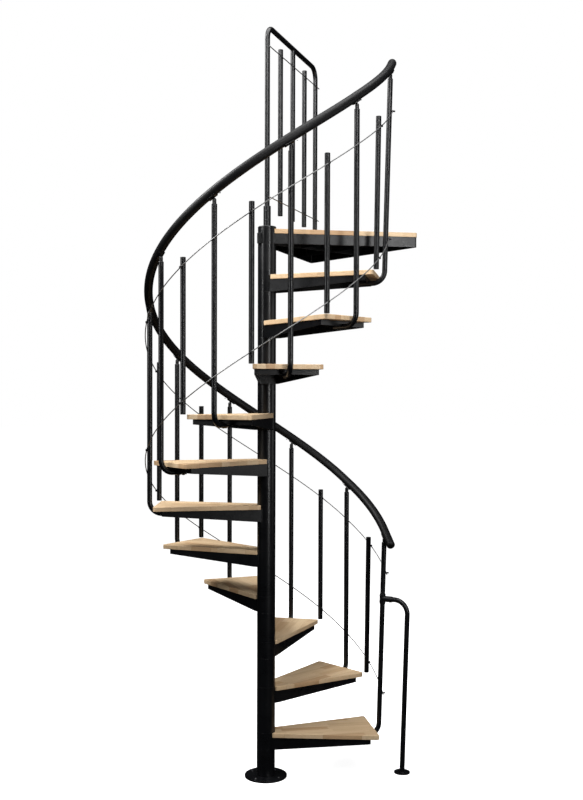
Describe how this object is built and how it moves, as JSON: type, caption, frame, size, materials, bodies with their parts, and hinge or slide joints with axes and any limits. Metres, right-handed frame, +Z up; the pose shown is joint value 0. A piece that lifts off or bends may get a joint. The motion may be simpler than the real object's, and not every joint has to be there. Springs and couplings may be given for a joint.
{
  "type": "spiral staircase",
  "caption": "Spiral staircase with wooden wedge treads on a central steel column, a helical guard of bars and wires with a round handrail, and a triangular landing.",
  "frame": {"origin": "centre of the base plate's underside, on the column's axis, at floor level", "axes": "+Z up along the column, +X along the centre line of the first tread, and the flight climbs anticlockwise seen from above"},
  "size_m": [1.3497, 1.2627, 3.702],
  "materials": {
    "black_powder_coat": "satin black powder coat on steel",
    "handrail_plastic": "smooth black plastic with a soft sheen",
    "laminated_beech": "finger-jointed hardwood strips under satin lacquer",
    "wire_steel": "plain stainless wire"
  },
  "bodies": {
    "root": {"base_plate": "black_powder_coat", "centre_pole": "black_powder_coat", "column_sleeves": "black_powder_coat", "column_cap": "black_powder_coat", "tread_support_01": "black_powder_coat", "tread_support_02": "black_powder_coat", "tread_support_03": "black_powder_coat", "tread_support_04": "black_powder_coat", "tread_support_05": "black_powder_coat", "tread_support_06": "black_powder_coat", "tread_support_07": "black_powder_coat", "tread_support_08": "black_powder_coat", "tread_support_09": "black_powder_coat", "tread_support_10": "black_powder_coat", "tread_support_11": "black_powder_coat", "tread_board_01": "laminated_beech", "tread_board_02": "laminated_beech", "tread_board_03": "laminated_beech", "tread_board_04": "laminated_beech", "tread_board_05": "laminated_beech", "tread_board_06": "laminated_beech", "tread_board_07": "laminated_beech", "tread_board_08": "laminated_beech", "tread_board_09": "laminated_beech", "tread_board_10": "laminated_beech", "tread_board_11": "laminated_beech", "long_bars": "black_powder_coat", "short_bars": "black_powder_coat", "handrail": "handrail_plastic", "handrail_brackets": "black_powder_coat", "upper_wire": "wire_steel", "lower_wire": "wire_steel", "wire_clamps": "black_powder_coat", "starting_leg": "black_powder_coat", "landing_frame": "black_powder_coat", "landing_board": "laminated_beech", "landing_guard_near_leg": "black_powder_coat", "landing_guard_rail": "black_powder_coat", "landing_guard_far_leg": "black_powder_coat", "landing_guard_bars": "black_powder_coat", "landing_guard_wires": "wire_steel"}
  },
  "joints": []
}
